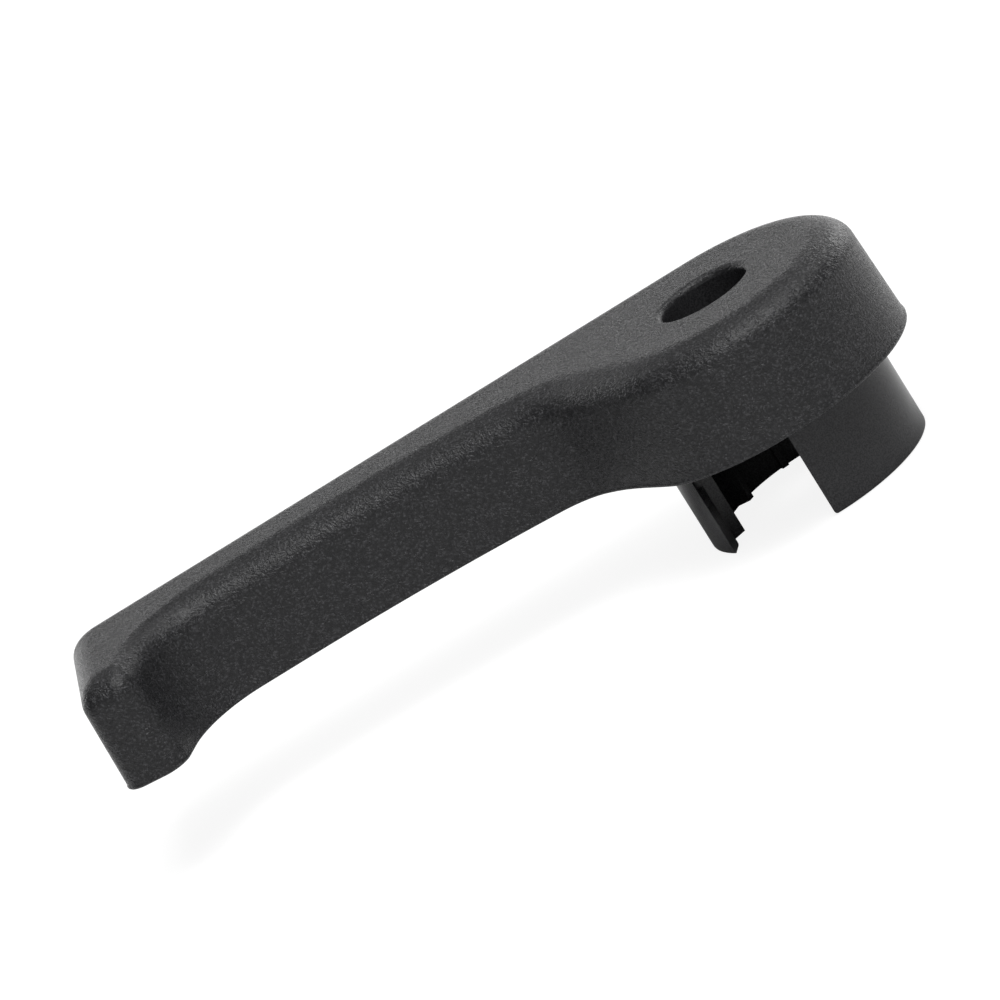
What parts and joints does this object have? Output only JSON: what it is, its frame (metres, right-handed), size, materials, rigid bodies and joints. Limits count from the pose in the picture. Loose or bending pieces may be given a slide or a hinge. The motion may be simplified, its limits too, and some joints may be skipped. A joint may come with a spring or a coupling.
{
  "type": "hood release handle",
  "caption": "Black plastic hood release handle with a round head, a grained arm with a finger foot, and a skirted hub with a screw well.",
  "frame": {"origin": "on the hub's axis, on the seat that rests on the mechanism's lever, level with the head's lower rim", "axes": "+Z along the hub's axis, out of the grained top face; the arm points along -X; the foot that the fingers pull turns out towards -Y"},
  "size_m": [0.1228, 0.044, 0.0314],
  "materials": {
    "plastic": "satin, with leather grain on head and arm and smooth on the skirt and in the well"
  },
  "bodies": {
    "root": {"handle": "plastic"}
  },
  "joints": []
}
